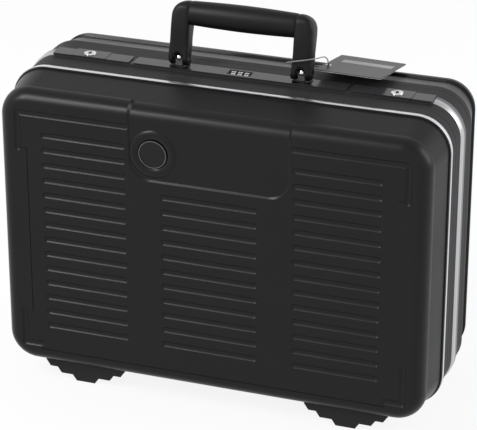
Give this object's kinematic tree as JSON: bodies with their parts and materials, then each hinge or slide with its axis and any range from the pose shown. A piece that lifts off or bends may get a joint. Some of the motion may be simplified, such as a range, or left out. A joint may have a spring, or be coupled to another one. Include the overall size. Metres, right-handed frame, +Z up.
{
  "type": "hard attache case",
  "caption": "Hard attache case: ribbed moulded halves in metal frames, folding top handle, slide bolts, key locks, number wheels and stepped feet.",
  "frame": {"origin": "on the floor, under the middle of the closed case's bounding box", "axes": "+X along the case to the right seen from the front, +Y from the front face to the back, +Z up"},
  "size_m": [0.4508, 0.1823, 0.3915],
  "materials": {
    "shell": "fine-grained moulded, low sheen",
    "frame": "dark anodised, satin",
    "trim": "bright satin",
    "console": "polished",
    "foot": "fine-grained moulded",
    "bright_metal": "polished",
    "plated_steel": "zinc plated",
    "wheel": "polished",
    "cradle": "moulded",
    "handle": "polished",
    "badge": "polished",
    "card": "coated",
    "string": "elastic cord"
  },
  "bodies": {
    "base": {"back_shell": "shell", "base_frame": "frame", "base_trim": "trim", "console_bed": "console", "console_cover": "console", "lock_plate_left": "console", "lock_plate_right": "console", "end_plate_left": "console", "end_plate_right": "console", "handle_lug_left": "bright_metal", "handle_lug_right": "bright_metal", "dial_cradle": "cradle", "dial_axle": "plated_steel", "base_hinge_leaf_left": "plated_steel", "base_hinge_leaf_right": "plated_steel", "hinge_pin_left": "plated_steel", "hinge_pin_right": "plated_steel", "base_foot_left": "foot", "base_foot_right": "foot", "tag_card": "card", "tag_eyelet": "bright_metal"},
    "lid": {"front_shell": "shell", "lid_frame": "frame", "lid_bead": "trim", "badge_disc": "badge", "badge_ring": "bright_metal", "lid_hinge_leaf_left": "plated_steel", "lid_hinge_leaf_right": "plated_steel", "lid_foot_left": "foot", "lid_foot_right": "foot", "keeper_left": "plated_steel", "keeper_right": "plated_steel"},
    "handle": {"handle_bow": "handle", "handle_grip": "handle", "handle_pin_left": "bright_metal", "handle_pin_right": "bright_metal", "tag_string": "string"},
    "bolt_left": {"bolt_plate_left": "console", "bolt_bar_left": "plated_steel"},
    "bolt_right": {"bolt_plate_right": "console", "bolt_bar_right": "plated_steel"},
    "key_left": {"key_cylinder_left": "bright_metal", "lock_cam_left": "plated_steel"},
    "key_right": {"key_cylinder_right": "bright_metal", "lock_cam_right": "plated_steel"},
    "wheel_1": {"dial_1": "wheel"},
    "wheel_2": {"dial_2": "wheel"},
    "wheel_3": {"dial_3": "wheel"}
  },
  "joints": [
    {"name": "lid_hinge", "type": "hinge", "parent": "base", "child": "lid", "pos_m": [0, -0.0076, 0.0132], "axis": [1, 0, 0], "range_deg": [0, 95]},
    {"name": "handle_fold", "type": "hinge", "parent": "base", "child": "handle", "pos_m": [0, 0.0043, 0.3352], "axis": [1, 0, 0], "range_deg": [0, 100]},
    {"name": "bolt_left_slide", "type": "slide", "parent": "base", "child": "bolt_left", "axis": [1, 0, 0], "range_m": [0, 0.0045]},
    {"name": "bolt_right_slide", "type": "slide", "parent": "base", "child": "bolt_right", "axis": [-1, 0, 0], "range_m": [0, 0.0045]},
    {"name": "key_left_turn", "type": "hinge", "parent": "base", "child": "key_left", "pos_m": [-0.1588, 0.0043, 0.3266], "axis": [0, 0, -1], "range_deg": [0, 90]},
    {"name": "key_right_turn", "type": "hinge", "parent": "base", "child": "key_right", "pos_m": [0.1588, 0.0043, 0.3266], "axis": [0, 0, 1], "range_deg": [0, 90]},
    {"name": "wheel_1_turn", "type": "hinge", "parent": "base", "child": "wheel_1", "pos_m": [-0.0068, 0.0043, 0.3215], "axis": [1, 0, 0], "continuous": true},
    {"name": "wheel_2_turn", "type": "hinge", "parent": "base", "child": "wheel_2", "pos_m": [0, 0.0043, 0.3215], "axis": [1, 0, 0], "continuous": true},
    {"name": "wheel_3_turn", "type": "hinge", "parent": "base", "child": "wheel_3", "pos_m": [0.0068, 0.0043, 0.3215], "axis": [1, 0, 0], "continuous": true}
  ]
}
